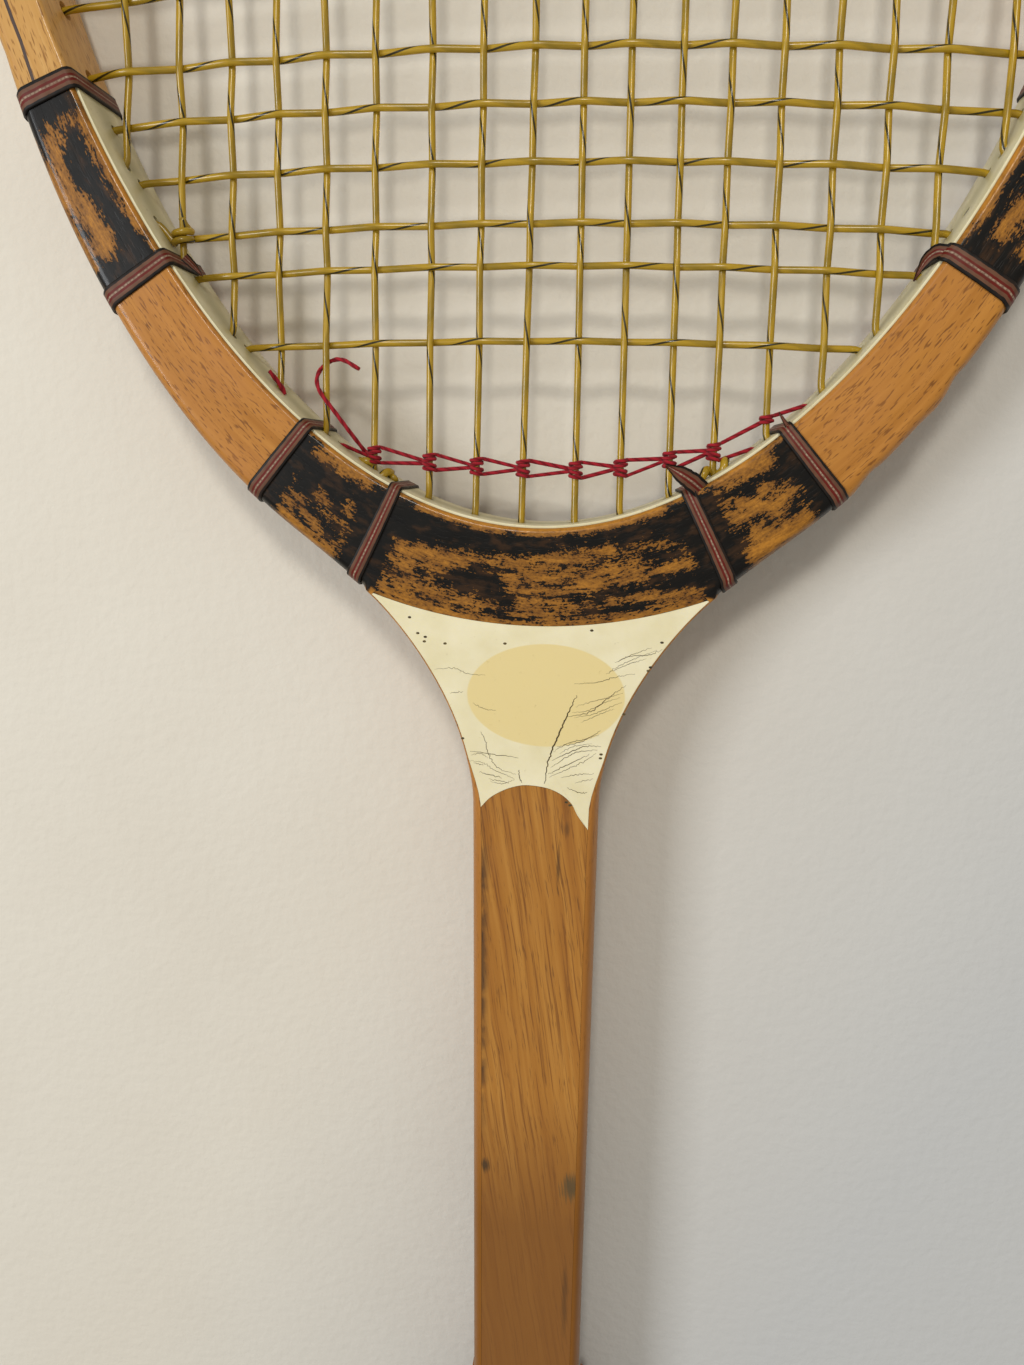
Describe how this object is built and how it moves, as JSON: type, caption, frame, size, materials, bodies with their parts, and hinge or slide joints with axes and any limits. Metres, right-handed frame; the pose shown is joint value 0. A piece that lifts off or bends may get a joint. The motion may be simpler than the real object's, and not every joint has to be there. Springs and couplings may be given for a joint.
{
  "type": "wooden tennis racket",
  "caption": "Laminated wooden tennis racket with an egg-shaped open head, woven strings, a lashed cord above the throat, a flat shaft and an octagonal leather grip.",
  "frame": {"origin": "under the middle of the racket's bounding box, on the surface that the butt rests on", "axes": "+X to the right across the head, +Y from the butt to the tip, +Z the normal of the front face"},
  "size_m": [0.2236, 0.686, 0.034],
  "materials": {
    "beech": "varnished steamed beech, worn and chipped, with black paint on the hoop",
    "dark_fibre": "dark vulcanised fibre between the wood layers",
    "maple": "varnished pale maple, black paint worn off in places",
    "cream_celluloid": "aged cream celluloid, crazed at the edges",
    "shaft_face_ash": "varnished ash veneer with a long grain, worn",
    "binding_tape": "woven binding tape, black with tan, red and white stripes, varnished and frayed",
    "amber_string": "translucent amber synthetic string with a dark spiral",
    "red_cord": "twisted red cotton cord, matt",
    "grip_leather": "brown leather strip wound round the handle, worn",
    "collar_rubber": "matt black rubber",
    "butt_vinyl": "satin black vinyl"
  },
  "bodies": {
    "root": {"outer_lamination": "beech", "fibre_lamination": "dark_fibre", "inner_lamination": "maple", "inner_facing": "cream_celluloid", "throat_crescent": "beech", "throat_wedge": "beech", "shaft_core": "maple", "throat_overlay_front": "cream_celluloid", "throat_overlay_back": "cream_celluloid", "shaft_face_front": "shaft_face_ash", "shaft_face_back": "shaft_face_ash", "binding_left_1": "binding_tape", "binding_left_2": "binding_tape", "binding_left_3": "binding_tape", "binding_left_4": "binding_tape", "binding_right_1": "binding_tape", "binding_right_2": "binding_tape", "binding_right_3": "binding_tape", "binding_right_4": "binding_tape", "main_string": "amber_string", "cross_string": "amber_string", "lashing_cord_upper": "red_cord", "lashing_cord_lower": "red_cord", "lashing_cord_tail": "red_cord", "handle_pallet_front": "beech", "handle_pallet_back": "beech", "handle_pallet_left": "beech", "handle_pallet_right": "beech", "leather_grip": "grip_leather", "grip_collar": "collar_rubber", "butt_cap": "butt_vinyl"}
  },
  "joints": []
}
